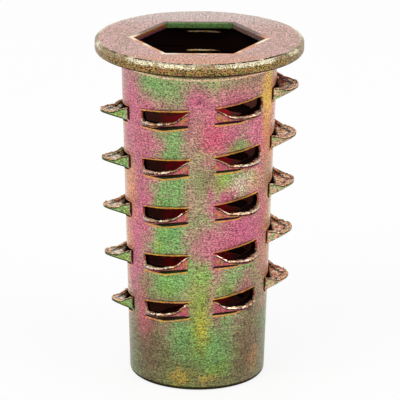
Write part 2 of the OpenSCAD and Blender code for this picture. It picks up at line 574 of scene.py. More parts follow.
@dataclass
class Head:
    """The flange with its rounded rim, the fillet under it and the plate with the hex hole."""

    radius: float = 7.4504
    under: float = 24.15
    top: float = 25.0
    plate: float = 24.6
    rim_round: float = 0.2
    neck_fillet: float = 0.2
    across_flats: float = 8.15
    hex_round: float = 0.06
    overlap: float = 0.02
    face_rings: tuple[float, ...] = (6.6, 5.9, 5.2, 2.4, 0.0)
    under_rings: tuple[float, ...] = (6.1, 6.6)
    rim_rows: tuple[float, ...] = (0.15, 0.3)
    skirt: float = 0.05
    drift_below: float = 1.0
    drift_above: float = 0.5
    drift_flare: float = 0.01
    steps: int = 240

    def build(self, barrel: Barrel) -> bpy.types.Object:
        """Makes the head.

        Args:
            barrel: the barrel that the head sits on.

        Returns:
            The head, in millimetres, with its skirt buried in the barrel's wall.
        """
        wall = barrel.radius(self.under)
        buried = wall - barrel.sheet / 2
        low = self.under - self.neck_fillet
        middle = (wall + self.neck_fillet - self.overlap, low - self.overlap)
        fillet = arc(middle, self.neck_fillet + self.overlap, 180, 90, 5)
        lower = arc((self.radius - self.rim_round, self.under + self.rim_round), self.rim_round, -90, 0, 4)
        upper = arc((self.radius - self.rim_round, self.top - self.rim_round), self.rim_round, 0, 90, 4)
        face = [(radius, self.top) for radius in self.face_rings]
        side = [(self.radius, self.under + self.rim_round + up) for up in self.rim_rows]
        under = [(radius, self.under) for radius in self.under_rings]
        outline = [(0.0, self.plate), (buried, self.plate), (buried, low - self.skirt)]
        outline += fillet + under + lower + side + upper + face
        head = turned("head", outline, self.steps, closed=False)
        combine(head, self.drift(), Merge.CUT)
        return head

    def drift(self) -> bpy.types.Object:
        """Makes the hex form that is cut out of the plate, flared at the top to leave a rounded edge."""
        corner = self.across_flats / math.sqrt(3)
        low = self.plate - self.drift_below
        place, turn = (0, 0, low), (0, 0, HEX_TURN)
        bpy.ops.object.select_all(action="DESELECT")
        bpy.ops.mesh.primitive_circle_add(
            vertices=6, radius=corner, fill_type="NGON", location=place, rotation=turn
        )
        drift = bpy.context.object
        only(drift)
        bpy.ops.object.transform_apply(location=True, rotation=True, scale=True)
        bpy.ops.object.mode_set(mode="EDIT")
        bpy.ops.mesh.select_mode(type="FACE")
        bpy.ops.mesh.select_all(action="SELECT")
        flare = arc((corner + self.hex_round, self.top - self.hex_round), self.hex_round, 180, 100, 4)
        reached, wide = low, corner
        for radius, height in flare + [(flare[-1][0] + self.drift_flare, self.top + self.drift_above)]:
            bpy.ops.mesh.extrude_region_move(TRANSFORM_OT_translate={"value": (0, 0, height - reached)})
            grow = radius / wide
            bpy.ops.transform.resize(value=(grow, grow, 1), center_override=(0, 0, height))
            reached, wide = height, radius
        face_outwards()
        return drift


@dataclass
class ThreadRing:
    """The thick ring at the open end, with the bolt's thread in its bore."""

    core: float = 3.375
    depth: float = 0.62
    pitch: float = 1.25
    length: float = 3.6
    lead_in: float = 0.5
    mouth: float = 0.45
    run_out: float = 0.3
    flank: float = 2.6
    root: float = 1.18
    base: float = 0.004
    buried: float = 0.3
    end_inset: float = 0.03
    corner: tuple[float, float] = (0.25, 0.2)
    ledge: float = 0.02
    rows: int = 48
    steps: int = 144

    def build(self, barrel: Barrel) -> bpy.types.Object:
        """Makes the ring.

        Args:
            barrel: the barrel that the ring sits in.

        Returns:
            The ring, in millimetres, with its outside buried in the barrel's wall.
        """
        floor = self.length + self.lead_in
        inset, height = self.corner
        outline = [
            (self.core + self.mouth, self.base),
            (barrel.radius(0) - barrel.end_round - self.end_inset, self.base),
            (barrel.radius(height) - inset, height),
            (barrel.radius(floor) - self.buried, floor),
            (barrel.radius(floor) - barrel.sheet - self.ledge, floor),
        ]
        bore = np.linspace(self.length, self.mouth, self.rows)
        outline += [(self.core, float(level)) for level in bore]
        ring = turned("thread_ring", outline, self.steps, closed=True)
        places = coordinates(ring)
        spread = from_axis(places)
        turn = np.arctan2(places[:, 1], places[:, 0]) / (2 * math.pi)
        along = np.mod(places[:, 2] / self.pitch - turn, 1)
        groove = np.clip(self.root - np.abs(along - 0.5) * self.flank, 0, 1)
        inwards = np.minimum(places[:, 2] - self.mouth, self.length - places[:, 2])
        groove *= np.clip(inwards / self.run_out, 0, 1)
        moved = np.where(np.abs(spread - self.core) < 0.01, spread + self.depth * groove, spread)
        places[:, :2] *= (moved / spread)[:, None]
        set_coordinates(ring, places)
        return ring


class Value:
    """A number in a shader, with the operators of plain arithmetic."""

    def __init__(self, graph: Graph, socket: bpy.types.NodeSocket) -> None:
        """Keeps the socket and the graph that it is in."""
        self.graph = graph
        self.socket = socket

    def __add__(self, other: Value | float) -> Value:
        """Sum."""
        return self.graph.math("ADD", self, other)

    __radd__ = __add__

    def __sub__(self, other: Value | float) -> Value:
        """Difference."""
        return self.graph.math("SUBTRACT", self, other)

    def __rsub__(self, other: float) -> Value:
        """Difference from a plain number."""
        return self.graph.math("SUBTRACT", other, self)

    def __mul__(self, other: Value | float) -> Value:
        """Product."""
        return self.graph.math("MULTIPLY", self, other)

    __rmul__ = __mul__

    def __pow__(self, other: Value | float) -> Value:
        """Power."""
        return self.graph.math("POWER", self, other)

    def __abs__(self) -> Value:
        """Size without its sign."""
        return self.graph.math("ABSOLUTE", self)

    def __or__(self, other: Value) -> Value:
        """The greater of two values, which joins two masks."""
        return self.graph.math("MAXIMUM", self, other)

    def step(self, low: float, high: float, start: float = 0.0, end: float = 1.0) -> Value:
        """Smooth step from one value to another.

        Args:
            low: where the step starts.
            high: where it ends.
            start: value before the step.
            end: value after the step.

        Returns:
            The stepped value.
        """
        settings = {"interpolation_type": "SMOOTHSTEP"}
        sockets = {"Value": self, "From Min": low, "From Max": high, "To Min": start, "To Max": end}
        return self.graph.node("ShaderNodeMapRange", settings, sockets)["Result"]

    def fade(self, low: float, high: float, start: float = 1.0) -> Value:
        """Smooth step down to nothing."""
        return self.step(low, high, start, 0.0)

    def band(self, low: float, rise: float, fall: float, high: float) -> Value:
        """Smooth mask of a band, which rises between the first two places and falls between the last two."""
        return self.step(low, rise) * self.fade(fall, high)


class Outputs:
    """The outputs of a node, by name or number."""

    def __init__(self, graph: Graph, node: bpy.types.Node) -> None:
        """Keeps the node and the graph that it is in."""
        self.graph = graph
        self.node = node

    def __getitem__(self, key: str | int) -> Value:
        """Returns an output as a value."""
        return Value(self.graph, self.node.outputs[key])


class Graph:
    """The nodes of one material or of the world."""

    def __init__(self, tree: bpy.types.NodeTree) -> None:
        """Empties the tree."""
        self.tree = tree
        tree.nodes.clear()

    def node(self, kind: str, settings: dict | None = None, sockets: dict | None = None) -> Outputs:
        """Makes any node.

        Args:
            kind: the node's type.
            settings: properties of the node, set first; a ramp's stops are under the name stops.
            sockets: values or links of its inputs, by name or number.

        Returns:
            The node's outputs.
        """
        made = self.tree.nodes.new(kind)
        for name, value in (settings or {}).items():
            if name == "stops":
                self.ramp_stops(made.color_ramp, value)
            else:
                setattr(made, name, value)
        for key, value in (sockets or {}).items():
            if isinstance(value, Value):
                self.tree.links.new(value.socket, made.inputs[key])
            else:
                made.inputs[key].default_value = value.value if isinstance(value, Tint) else value
        return Outputs(self, made)

    @staticmethod
    def ramp_stops(ramp: bpy.types.ColorRamp, stops: list[tuple[float, Tint]]) -> None:
        """Sets the stops of a colour ramp."""
        while len(ramp.elements) < len(stops):
            ramp.elements.new(0.5)
        for element, (place, tint) in zip(ramp.elements, stops):
            element.position = place
            element.color = tint.value

    def math(self, operation: str, first: Value | float, second: Value | float = 0.0) -> Value:
        """Makes a Math node and returns its value."""
        return self.node("ShaderNodeMath", {"operation": operation}, {0: first, 1: second})[0]

    def vector(self, operation: str, first: Value | tuple, second: Value | tuple = (0, 0, 0)) -> Outputs:
        """Makes a Vector Math node and returns its outputs."""
        return self.node("ShaderNodeVectorMath", {"operation": operation}, {0: first, 1: second})

    def mix(self, share: Value | float, first: Value | Tint, second: Value | Tint, how: str = "MIX") -> Value:
        """Mixes two colours.

        Args:
            share: share of the second colour.
            first: first colour.
            second: second colour.
            how: the way of mixing.

        Returns:
            The mixed colour.
        """
        settings = {"data_type": "RGBA", "blend_type": how, "clamp_factor": True}
        return self.node("ShaderNodeMix", settings, {0: share, 6: first, 7: second})[2]

    def lay(self, colour: Value | Tint, *layers: tuple[Value, Value | Tint]) -> Value:
        """Lays colours over a first one in order, each by its own mask."""
        for mask, tint in layers:
            colour = self.mix(mask, colour, tint)
        return colour

    def noise(self, place: Value, scale: float, detail: float = 2.0, rough: float = 0.5) -> Outputs:
        """Makes a noise on a place in millimetres."""
        sockets = {"Vector": place, "Scale": scale, "Detail": detail, "Roughness": rough}
        return self.node("ShaderNodeTexNoise", {"noise_dimensions": "3D"}, sockets)


def paint(red: int, green: int, blue: int) -> tuple[float, float, float, float]:
    """Returns a display colour, 0 to 255, as a linear shader colour."""
    share = [value / 255 for value in (red, green, blue)]
    linear = [v / 12.92 if v < 0.04045 else ((v + 0.055) / 1.055) ** 2.4 for v in share]
    return (*linear, 1.0)


class Tint(Enum):
    """Colours that the chromate film shows, with the film in painted shade and the red of a painted glow
    inside.
    """

    PINK = paint(200, 110, 132)
    MAGENTA = paint(196, 92, 130)
    ROSE = paint(206, 86, 116)
    GREEN = paint(122, 174, 100)
    LIME = paint(140, 172, 58)
    GOLD = paint(238, 180, 44)
    ORANGE = paint(222, 142, 78)
    PEACH = paint(224, 164, 132)
    TAN = paint(170, 144, 116)
    OLIVE = paint(122, 124, 76)
    BROWN = paint(134, 92, 76)
    CREAM = paint(255, 242, 212)
    MAUVE = paint(210, 168, 158)
    ASH = paint(206, 194, 188)
    UMBER = paint(84, 58, 44)
    DARK = paint(24, 12, 11)
    # The film in painted shade, for the inside.
    SOOT = paint(112, 66, 58)
    # Red for the painted glow inside, and for the right-hand teeth's inner faces.
    EMBER = paint(236, 40, 58)


@dataclass(frozen=True)
class Patch:
    """A soft patch of one colour on the barrel.

    Its direction from the front and half width are in degrees, its height and half height in millimetres.
    """

    tint: Tint
    turn: float
    height: float
    wide: float
    high: float
    strength: float = 0.9


PATCHES = (
    Patch(Tint.OLIVE, 0, 1.2, 360, 4.6, 0.9),
    Patch(Tint.TAN, 0, 23.0, 60, 1.2, 0.9),
    Patch(Tint.PINK, -54, 16.5, 18, 8.0),
    Patch(Tint.GREEN, -18, 14.0, 10, 9.0, 0.8),
    Patch(Tint.TAN, -1, 15.2, 9, 8.0, 0.7),
    Patch(Tint.PINK, 32, 20.6, 26, 2.2, 0.85),
    Patch(Tint.PINK, 32, 12.0, 24, 1.7, 0.85),
    Patch(Tint.GREEN, -34, 22.8, 16, 1.1),
    Patch(Tint.GREEN, 10, 23.2, 28, 0.5, 0.5),
    Patch(Tint.OLIVE, 46, 22.9, 9, 0.7, 0.5),
    Patch(Tint.MAGENTA, -2, 21.8, 10, 1.0, 0.85),
    Patch(Tint.GREEN, -22, 19.0, 9, 1.5, 0.75),
    Patch(Tint.ROSE, 11, 19.1, 11, 1.5),
    Patch(Tint.GREEN, 32, 18.2, 12, 0.7, 0.8),
    Patch(Tint.MAGENTA, -46, 15.6, 8, 3.0, 0.5),
    Patch(Tint.BROWN, 70, 12.5, 12, 6.0, 0.4),
    Patch(Tint.ROSE, 60, 12.5, 10, 5.5, 0.75),
    Patch(Tint.ORANGE, 70, 11.0, 6, 5.0, 0.5),
    Patch(Tint.GOLD, 64, 21.4, 9, 2.8),
    Patch(Tint.ORANGE, 67, 18.0, 9, 1.8, 0.8),
    Patch(Tint.PEACH, -67, 15.0, 8, 1.8, 0.8),
    Patch(Tint.OLIVE, 5, 15.8, 7, 1.2, 0.7),
    Patch(Tint.GREEN, 0, 14.2, 6, 5.0, 0.3),
    Patch(Tint.GREEN, 25, 16.6, 14, 1.1, 0.8),
    Patch(Tint.LIME, 20, 16.1, 9, 0.9, 0.7),
    Patch(Tint.CREAM, 36, 15.6, 10, 0.7, 0.45),
    Patch(Tint.PEACH, 50, 15.6, 9, 1.0, 0.6),
    Patch(Tint.GREEN, -18, 12.2, 10, 1.4, 0.8),
    Patch(Tint.MAGENTA, 40, 12.1, 14, 1.1, 0.6),
    Patch(Tint.MAGENTA, 2, 11.1, 8, 1.2, 0.6),
    Patch(Tint.GREEN, -24, 8.3, 22, 1.5),
    Patch(Tint.GREEN, 30, 8.5, 13, 1.1, 0.85),
    Patch(Tint.BROWN, -48, 4.2, 16, 4.6, 0.9),
    Patch(Tint.ROSE, -52, 5.4, 11, 1.8, 0.8),
    Patch(Tint.BROWN, 48, 4.0, 14, 4.4, 0.85),
    Patch(Tint.GREEN, -12, 4.2, 12, 1.6, 0.8),
    Patch(Tint.GREEN, 14, 3.2, 17, 2.0, 0.85),
    Patch(Tint.LIME, 2, 5.8, 10, 3.4),
    Patch(Tint.MAUVE, 33, 5.2, 7, 0.6, 0.4),
    Patch(Tint.GOLD, -15, 1.0, 10, 0.5, 0.6),
    Patch(Tint.LIME, 18, 1.7, 9, 0.6, 0.6),
    Patch(Tint.ORANGE, 56, 1.9, 7, 0.9, 0.5),
    Patch(Tint.PINK, -64, 8.2, 8, 1.6, 0.7),
    Patch(Tint.ORANGE, -66, 14.4, 8, 2.0, 0.65),
    Patch(Tint.LIME, -24, 7.6, 10, 0.8, 0.5),
    Patch(Tint.LIME, 24, 7.4, 9, 0.7, 0.5),
    Patch(Tint.GOLD, 4, 4.8, 5, 1.6, 0.4),
    Patch(Tint.GOLD, 10, 0.9, 9, 0.4, 0.5),
    # The pale bands down both sides are painted reflections at the barrel's edges.
    Patch(Tint.PEACH, -80, 13.0, 9, 10.0, 0.75),
    Patch(Tint.CREAM, -88, 12.0, 8, 11.0, 0.6),
    Patch(Tint.PEACH, 80, 15.0, 7, 8.0, 0.7),
    Patch(Tint.CREAM, 86, 14.0, 8, 10.0, 0.6),
)


@dataclass(frozen=True)
class Surface:
    """What the finish reads at each place: where it is, its noises and the mesh's own marks."""

    graph: Graph
    place: Value
    across: Value
    deep: Value
    height: Value
    radius: Value
    proud: Value
    turn: Value
    aside: Value
    normal: Value
    fine: Value
    medium: Value
    grain: Value
    blotch: Value
    broad: Value
    brush: Value
    marks: dict[str, Value]

    @classmethod
    def read(cls, graph: Graph, barrel: Barrel) -> Surface:
        """Makes the nodes that read a place.

        Args:
            graph: the material's nodes.
            barrel: the barrel, for the radius of its wall.

        Returns:
            The values read, with lengths in millimetres and the direction in degrees from the front.
        """
        where = graph.node("ShaderNodeTexCoord")
        place = graph.vector("MULTIPLY", where["Object"], (1000, 1000, 1000))[0]
        axes = graph.node("ShaderNodeSeparateXYZ", sockets={0: place})
        across, deep, height = axes["X"], axes["Y"], axes["Z"]
        radius = (across * across + deep * deep) ** 0.5
        wall = height * ((barrel.top_radius - barrel.end_radius) / barrel.under_flange) + barrel.end_radius
        brushed = graph.vector("MULTIPLY", place, (0.9, 0.9, 13))[0]
        drawn = graph.vector("MULTIPLY", place, (1, 1, 1.6))[0]
        turn = graph.math("ARCTAN2", across, 0 - deep) * (180 / math.pi)
        marks = {name: graph.node("ShaderNodeAttribute", {"attribute_name": name})["Fac"] for name in MARKS}
        return cls(
            graph=graph,
            place=place,
            across=across,
            deep=deep,
            height=height,
            radius=radius,
            proud=radius - wall,
            turn=turn,
            aside=abs(turn).step(46, 60),
            normal=where["Normal"],
            fine=graph.noise(drawn, 7.5, 2.5, 0.8)["Fac"],
            medium=graph.noise(place, 2.3, 3.0, 0.65)["Fac"],
            grain=graph.noise(place, 11.0, 1.0, 0.6)["Fac"],
            blotch=graph.noise(place, 4.2, 2.0, 0.6)["Fac"],
            broad=graph.noise(place, 0.45, 2.0, 0.6)["Fac"],
            brush=graph.noise(brushed, 0.9, 2.0, 0.6)["Fac"],
            marks=marks,
        )


@dataclass(frozen=True)
class Chromate:
    """Zinc plating under an iridescent chromate film that turns from pink to green and gold, with painted
    shade, painted highlights and a painted red glow.

    Heights and radii in its methods are in millimetres from the open end and the axis.
    """

    name: str = "iridescent_chromate"
    roughness: float = 0.42
    metal: float = 0.92
    coat: float = 0.2
    coat_roughness: float = 0.2
    grain_depth: float = 0.000012
    rough_depth: float = 0.00006
    hex_half: float = Head.across_flats / 2

    def make(self, barrel: Barrel) -> bpy.types.Material:
        """Makes the material.

        Args:
            barrel: the barrel, for the radius of its wall.

        Returns:
            The material, which reads the mesh's own marks.
        """
        material = bpy.data.materials.new(self.name)
        material.use_nodes = True
        graph = Graph(material.node_tree)
        at = Surface.read(graph, barrel)
        colour = self.edges(at, self.head(at, self.teeth(at, self.film(at))))
        looks = {
            "Base Color": colour,
            "Roughness": self.roughness + (at.fine - 0.5) * 0.25,
            "Metallic": self.metal,
            "Normal": self.relief(at),
            "Coat Weight": self.coat,
            "Coat Roughness": self.coat_roughness,
        }
        plated = graph.node("ShaderNodeBsdfPrincipled", sockets=looks)[0]
        # A dull dark shader, mixed in where the shadow mask is set, stands for painted shade.
        matte = {"Base Color": self.painted_shade_colour(at), "Roughness": 1.0, "Specular IOR Level": 0.0}
        shaded = graph.node("ShaderNodeBsdfPrincipled", sockets=matte)[0]
        shader = graph.node("ShaderNodeMixShader", sockets={0: self.shadow(at), 1: plated, 2: shaded})[0]
        graph.node("ShaderNodeOutputMaterial", sockets={"Surface": shader})
        return material

    def relief(self, at: Surface) -> Value:
        """Returns the normal of the film's fine grain, with humps on the worn rim."""
        graph = at.graph
        side = at.height.band(24.2, 24.3, 24.86, 24.94) * at.radius.step(7.1, 7.3)
        lumps = at.medium * side * 1.4 + at.fine * side
        sockets = {"Strength": 0.55, "Distance": self.rough_depth, "Height": lumps}
        hump = graph.node("ShaderNodeBump", sockets=sockets)["Normal"]
        grit = at.fine + at.brush * 0.6
        sockets = {"Strength": 0.5, "Distance": self.grain_depth, "Height": grit, "Normal": hump}
        return graph.node("ShaderNodeBump", sockets=sockets)["Normal"]

    @staticmethod
    def painted_shade_colour(at: Surface) -> Value:
        """Returns the colour of the painted shade: dark inside, with a painted red glow on the far inner wall
        and two painted highlight arcs under the plate.
        """
        graph = at.graph
        far, within = at.deep.step(3.0, 4.0), at.proud.fade(-0.36, -0.3)
        # A painted red glow on the middle of the far inner wall.
        lit = abs(at.across).fade(1.6, 3.1) * at.height.fade(18.4, 20.4)
        dusk = graph.mix(within * at.height.fade(19.5, 21.0), Tint.DARK, Tint.SOOT)
        glow = graph.mix(lit * within * far * at.medium.step(0.35, 0.55), dusk, Tint.EMBER)
        # Two painted highlight arcs on the far wall under the plate.
        arcs = at.height.band(24.0, 24.04, 24.1, 24.14)
        arcs = arcs + at.height.band(22.6, 22.64, 22.7, 22.74)
        arcs = arcs * abs(at.across - 0.3).fade(0.9, 1.3) * far
        return graph.mix(arcs, glow, graph.mix(at.fine.step(0.46, 0.54), Tint.CREAM, Tint.GOLD))

    @staticmethod
    def film(at: Surface) -> Value:
        """Returns the film's colour: broad drifting bands, the patches laid on them, and fine specks."""
        graph = at.graph
        slow = graph.noise(at.place, 0.3, 3.0, 0.55)["Fac"]
        slow = slow + (at.fine - 0.5) * 0.3 + (at.blotch - 0.5) * 0.14
        stops = [
            (0.28, Tint.LIME),
            (0.38, Tint.GREEN),
            (0.45, Tint.TAN),
            (0.53, Tint.PINK),
            (0.62, Tint.MAGENTA),
            (0.70, Tint.ORANGE),
        ]
        colour = graph.node("ShaderNodeValToRGB", {"stops": stops}, {"Fac": slow})["Color"]
        middle = (0.5, 0.5, 0.5)
        drift = graph.vector("SUBTRACT", graph.noise(at.place, 0.55, 3.0, 0.6)["Color"], middle)[0]
        speck = graph.vector("SUBTRACT", graph.noise(at.place, 8.0, 2.0, 0.7)["Color"], middle)[0]
        flat = graph.node("ShaderNodeCombineXYZ", sockets={"X": at.turn, "Y": at.height})["Vector"]
        spot = graph.vector("ADD", flat, graph.vector("MULTIPLY", drift, (14, 1.3, 0))[0])[0]
        spot = graph.vector("ADD", spot, graph.vector("MULTIPLY", speck, (30, 3.0, 0))[0])[0]
        for patch in PATCHES:
            off = graph.vector("SUBTRACT", spot, (patch.turn, patch.height, 0))[0]
            off = graph.vector("MULTIPLY", off, (1 / patch.wide, 1 / patch.high, 0))[0]
            away = graph.vector("LENGTH", off)["Value"]
            colour = graph.mix(away.fade(0.15, 1.6, patch.strength), colour, patch.tint)
        low = at.height.fade(6.5, 9.0)
        colour = graph.lay(
            colour,
            (at.grain.step(0.52, 0.64, 0.0, 0.35), Tint.OLIVE),
            (at.grain.fade(0.4, 0.46, 0.35) * low, Tint.GREEN),
            (at.medium.step(0.54, 0.62, 0.0, 0.4) * low, Tint.UMBER),
        )
        shade = at.fine.step(0.35, 0.67, 1.72, 0.24) * at.brush.step(0.36, 0.66, 1.14, 0.8)
        return graph.mix(1.0, colour, shade * at.height.step(1.0, 8.0, 0.74, 1.0), "MULTIPLY")

    @staticmethod
    def teeth(at: Surface, colour: Value) -> Value:
        """Colours the teeth: green at the left, mixed at the right, rose in front and pale inside."""
        graph = at.graph
        out = at.proud.step(0.05, 0.15) * at.height.fade(23.6, 23.8)
        right = at.turn.step(-10, 10)
        mixed = graph.mix(at.blotch.step(0.44, 0.54), Tint.GREEN, Tint.PEACH)
        green = graph.lay(
            Tint.GREEN,
            (at.medium.step(0.42, 0.6), Tint.LIME),
            (right, mixed),
            (at.fine.fade(0.36, 0.46, 0.75), Tint.CREAM),
            (at.fine.step(0.5, 0.6, 0.0, 0.8), Tint.UMBER),
        )
        rosy = graph.lay(
            Tint.ROSE,
            (at.medium.step(0.48, 0.62), Tint.ORANGE),
            (at.blotch.fade(0.36, 0.46, 0.6), Tint.GREEN),
            (at.fine.step(0.48, 0.58, 0.0, 0.75), Tint.UMBER),
        )
        warm = graph.lay(
            Tint.EMBER,
            (at.blotch.step(0.44, 0.54), Tint.PEACH),
            (at.medium.step(0.48, 0.56), Tint.ORANGE),
            (at.fine.fade(0.42, 0.5, 0.35), Tint.CREAM),
        )
        cool = graph.mix(at.blotch.step(0.42, 0.58), Tint.PEACH, Tint.CREAM)
        back = graph.mix(right, cool, warm)
        # The inner faces keep the film's own colours; this multiply also lightens them as painted light.
        back = graph.mix(1.0, back, at.fine.step(0.41, 0.62, 2.3, 0.2), "MULTIPLY")
        skin = graph.lay(rosy, (at.aside, green), (at.marks["depth"].step(0.6, 0.9), back))
        return graph.mix(out, colour, skin)

    @staticmethod
    def edges(at: Surface, colour: Value) -> Value:
        """Colours the torn lips, partly bare steel and partly a painted highlight, with painted shade beside
        them; the windows' cut edges, with a painted highlight and a dark line above; and the painted
        highlight lines under the teeth.
        """
        graph = at.graph
        bright = graph.mix(at.medium.step(0.4, 0.6), Tint.GOLD, Tint.ORANGE)
        # Painted highlight: a gold and orange line on the wall under each tooth's crease.
        glint = at.marks["fall"].band(0.13, 0.16, 0.22, 0.28) * at.blotch.step(0.4, 0.5, 0.4, 0.95)
        slit = at.marks["slit"] + (at.blotch - 0.5) * 0.16
        # A dark line on the wall just above the slit's painted highlight.
        slit_dark_line = slit.band(0.13, 0.16, 0.2, 0.28) * at.medium.step(0.4, 0.6, 0.95, 0.4)
        lip = at.marks["lip"] + (at.fine - 0.5) * 0.25
        # The torn lips: bare steel in part and a painted highlight in part, lighter still on the side teeth.
        bare = graph.lay(
            Tint.CREAM,
            (at.aside * 0.75 + 0.1, Tint.PEACH),
            (at.medium.step(0.5, 0.56, 0.0, 0.7), bright),
            (at.blotch.step(0.54, 0.6), Tint.TAN),
            (at.fine.step(0.55, 0.6), Tint.UMBER),
        )
        bare = graph.mix(1.0, bare, at.aside * at.fine.fade(0.42, 0.52, 0.6) + 1, "MULTIPLY")
        return graph.lay(
            colour,
            (glint, bright),
            (slit_dark_line, Tint.UMBER),
            # Painted highlight on the slit's cut edge.
            (slit.fade(0.11, 0.15, 0.9), bright),
            # Painted shade: a dark line beside each torn lip.
            (lip.band(0.05, 0.07, 0.11, 0.15), Tint.DARK),
            (lip.fade(0.035, 0.06, 0.95), bare),
        )

    def shadow(self, at: Surface) -> Value:
        """Returns where painted shade makes the metal dark and dull: inside, in the creases, on the teeth's
        undersides, under the rim and along the foot, with a dark line round the flange's top edge.
        """
        graph = at.graph
        hidden = at.proud.fade(-0.5, -0.42) * at.height.fade(24.5, 24.6)
        pale = at.marks["pale"] * at.proud.step(0.15, 0.4)
        hidden = (hidden | at.marks["depth"].step(0.6, 0.9)) * (1 - pale)
        crease = at.marks["fall"].band(-0.1, -0.07, 0.11, 0.14) | at.marks["fold"].step(0.3, 0.7)
        down = graph.node("ShaderNodeSeparateXYZ", sockets={0: at.normal})["Z"] - at.aside * 0.2
        down = down.fade(-0.56, -0.32) * at.proud.step(0.05, 0.12) * at.height.fade(23.6, 23.8)
        low = at.height.band(23.9, 24.0, 24.22, 24.3)
        foot = at.height.fade(0.27, 0.36)
        rim = self.border(at).band(7.14, 7.22, 7.4, 7.48) * at.medium.step(0.4, 0.48)
        rim = rim * at.deep.fade(-5.5, -1.0) * at.height.step(24.96, 24.98)
        lines = (low | foot) * 0.9 | (crease | down) * 0.95 | rim
        bare = at.marks["lip"].step(0.05, 0.1) * at.marks["slit"].step(0.05, 0.1)
        return hidden * bare | lines

    @staticmethod
    def border(at: Surface) -> Value:
        """Returns a ragged radius, by which the worn rim comes further onto the flange's top in front."""
        ragged = at.radius + (at.medium - 0.5) * 0.3 + (at.fine - 0.5) * 0.2
        return ragged + at.deep.fade(-6.5, -1.0, 0.25)

    def head(self, at: Surface, colour: Value) -> Value:
        """Colours the flange: dusty mauve on top, mottled on its worn rim with a painted highlight along its
        upper edge, and a painted highlight round the hex hole that turns dark at its back edges; under the
        flange, a painted highlight ring and painted shade on the barrel.
        """
        graph, height = at.graph, at.height
        # Painted highlight along the rim's upper edge, cream in patches.
        rim_highlight = (height + (at.blotch - 0.5) * 0.5).step(24.72, 24.8) * at.broad.step(0.42, 0.52, 0.2, 1.0)
        mottled = graph.lay(
            Tint.OLIVE,
            (at.blotch.step(0.44, 0.52), Tint.BROWN),
            (at.fine.step(0.52, 0.56, 0.0, 0.8), Tint.ORANGE),
            (at.grain.step(0.53, 0.58, 0.0, 0.6), Tint.LIME),
            (at.fine.fade(0.45, 0.48), Tint.DARK),
            (rim_highlight * 0.9, graph.mix(at.grain.step(0.5, 0.56), Tint.CREAM, Tint.OLIVE)),
        )
        dusty = graph.lay(
            Tint.MAUVE,
            (at.medium.step(0.42, 0.62), Tint.TAN),
            (at.grain.step(0.4, 0.6, 0.0, 0.3), Tint.PINK),
            (at.deep.fade(-6.5, -3.5, 0.5), Tint.ORANGE),
            (at.deep.step(2.0, 6.5, 0.0, 0.6), Tint.ASH),
        )
        dusty = graph.mix(1.0, dusty, at.fine.step(0.38, 0.64, 1.58, 0.2), "MULTIPLY")
        walls = graph.lay(
            Tint.PINK,
            (height.step(24.7, 24.85), Tint.ORANGE),
            (at.across.step(0.0, 2.0), Tint.MAUVE),
            (at.deep.step(3.9, 4.0), Tint.GREEN),
            (at.fine.step(0.5, 0.6, 0.0, 0.7), Tint.UMBER),
        )
        # Painted highlight round the hex hole, orange in places and dark umber along its back edges.
        hex_edge_tints = (at.broad.step(0.45, 0.6), Tint.ORANGE), (at.deep.step(0.0, 1.5), Tint.UMBER)
        rim = graph.lay(Tint.CREAM, *hex_edge_tints)
        bright = graph.mix(at.fine.step(0.4, 0.6), Tint.CREAM, Tint.ORANGE)
        wide, long = abs(at.across), abs(at.deep)
        margin = (long | wide * math.cos(HEX_TURN) + long * math.sin(HEX_TURN)) - self.hex_half
        hex_edge_highlight = margin.step(0.0, 0.03) * (margin + (at.fine - 0.5) * 0.2).fade(0.26, 0.36, 0.95)
        return graph.lay(
            colour,
            # A painted highlight ring on the barrel just under the flange, and painted shade between it and
            # the flange.
            (height.band(23.34, 23.4, 23.46, 23.52) * 0.75, bright),
            (height.step(23.5, 23.6, 0.0, 0.8), Tint.UMBER),
            (height.step(24.08, 24.12), mottled),
            (height.step(24.985, 24.992) * (1 - self.border(at).step(7.12, 7.2)), dusty),
            (margin.fade(0.04, 0.06) * height.step(24.5, 24.55), walls),
            (hex_edge_highlight * height.step(24.9, 24.93), rim),
        )


